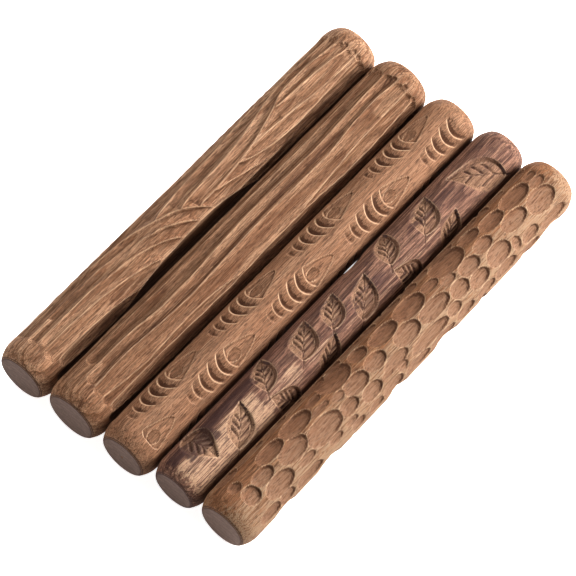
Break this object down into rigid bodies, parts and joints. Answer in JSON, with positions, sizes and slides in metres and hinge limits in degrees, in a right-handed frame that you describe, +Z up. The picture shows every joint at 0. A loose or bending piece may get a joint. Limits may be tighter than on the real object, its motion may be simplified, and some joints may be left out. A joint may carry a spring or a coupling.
{
  "type": "clay texture roller set",
  "caption": "Set of turned walnut texture rollers lying side by side, each carved with its own pattern to roll over clay or plaster.",
  "frame": {"origin": "on the surface the set lies on, under the middle of its outline", "axes": "+X across the rollers from the wave roller to the dimple roller, +Y along the rollers, +Z up"},
  "size_m": [0.1238, 0.2026, 0.0264],
  "materials": {
    "wave_walnut": "lightly oiled, hand-carved flowing waves",
    "flute_walnut": "lightly oiled, hand-carved long flutes",
    "ripple_walnut": "lightly oiled, hand-carved ripple clusters",
    "leaf_walnut": "lightly oiled, hand-carved leaves, dark heartwood with pale sapwood",
    "dimple_walnut": "lightly oiled, hand-carved oval dimples"
  },
  "bodies": {
    "wave_roller": {"wave_roller": "wave_walnut"},
    "flute_roller": {"flute_roller": "flute_walnut"},
    "ripple_roller": {"ripple_roller": "ripple_walnut"},
    "leaf_roller": {"leaf_roller": "leaf_walnut"},
    "dimple_roller": {"dimple_roller": "dimple_walnut"}
  },
  "joints": [
    {"name": "wave_roll", "type": "hinge", "parent": "ripple_roller", "child": "wave_roller", "pos_m": [-0.0494, -0.0009, 0.0125], "axis": [0, 1, 0], "continuous": true},
    {"name": "flute_roll", "type": "hinge", "parent": "ripple_roller", "child": "flute_roller", "pos_m": [-0.0234, -0.0013, 0.0132], "axis": [0, 1, 0], "continuous": true},
    {"name": "leaf_roll", "type": "hinge", "parent": "ripple_roller", "child": "leaf_roller", "pos_m": [0.0259, 0.0012, 0.0113], "axis": [0, 1, 0], "continuous": true},
    {"name": "dimple_roll", "type": "hinge", "parent": "ripple_roller", "child": "dimple_roller", "pos_m": [0.0497, 0.0013, 0.0122], "axis": [0, 1, 0], "continuous": true}
  ]
}
